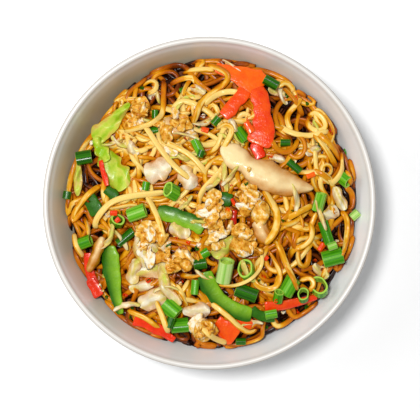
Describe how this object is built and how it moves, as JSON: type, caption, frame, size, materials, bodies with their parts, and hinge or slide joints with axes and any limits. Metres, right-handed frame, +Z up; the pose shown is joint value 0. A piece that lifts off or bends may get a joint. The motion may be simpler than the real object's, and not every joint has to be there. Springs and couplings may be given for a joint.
{
  "type": "bowl of stir-fried noodles",
  "caption": "Round glazed bowl heaped with stir-fried noodles, pepper strips, cabbage, egg, chicken and cut spring onion.",
  "frame": {"origin": "middle of the bowl's foot, on the surface that it stands on", "axes": "+Z up out of the bowl, +X to the right and +Y to the top of the bowl as seen from straight above"},
  "size_m": [0.18, 0.18, 0.0708],
  "materials": {
    "glazed_stoneware": "glossy warm white glaze",
    "noodles": "oily cooked wheat noodle",
    "red_pepper": "glossy skin",
    "green_pepper": "glossy skin",
    "cabbage": "wet pale leaf",
    "chicken": "cooked chicken with a thin sauce",
    "egg": "scrambled, craggy",
    "spring_onion": "wet green leaf tube"
  },
  "bodies": {
    "root": {"bowl": "glazed_stoneware", "noodles": "noodles", "red_pepper_1": "red_pepper", "red_pepper_2": "red_pepper", "red_pepper_3": "red_pepper", "red_pepper_4": "red_pepper", "red_pepper_5": "red_pepper", "red_pepper_6": "red_pepper", "red_pepper_7": "red_pepper", "red_pepper_8": "red_pepper", "red_pepper_9": "red_pepper", "green_pepper_1": "green_pepper", "green_pepper_2": "green_pepper", "green_pepper_3": "green_pepper", "green_pepper_4": "green_pepper", "green_pepper_5": "green_pepper", "cabbage_1": "cabbage", "cabbage_2": "cabbage", "cabbage_3": "cabbage", "cabbage_4": "cabbage", "cabbage_5": "cabbage", "cabbage_6": "cabbage", "cabbage_7": "cabbage", "cabbage_8": "cabbage", "cabbage_9": "cabbage", "cabbage_10": "cabbage", "chicken_1": "chicken", "chicken_2": "chicken", "chicken_3": "chicken", "chicken_4": "chicken", "egg_1": "egg", "egg_2": "egg", "egg_3": "egg", "egg_4": "egg", "egg_5": "egg", "egg_6": "egg", "egg_7": "egg", "egg_8": "egg", "spring_onion_1": "spring_onion", "spring_onion_2": "spring_onion", "spring_onion_3": "spring_onion", "spring_onion_4": "spring_onion", "spring_onion_5": "spring_onion", "spring_onion_6": "spring_onion", "spring_onion_7": "spring_onion", "spring_onion_8": "spring_onion", "spring_onion_9": "spring_onion", "spring_onion_10": "spring_onion", "spring_onion_11": "spring_onion", "spring_onion_12": "spring_onion", "spring_onion_13": "spring_onion", "spring_onion_14": "spring_onion", "spring_onion_15": "spring_onion", "spring_onion_16": "spring_onion", "spring_onion_17": "spring_onion", "spring_onion_18": "spring_onion", "spring_onion_19": "spring_onion", "spring_onion_20": "spring_onion"}
  },
  "joints": []
}
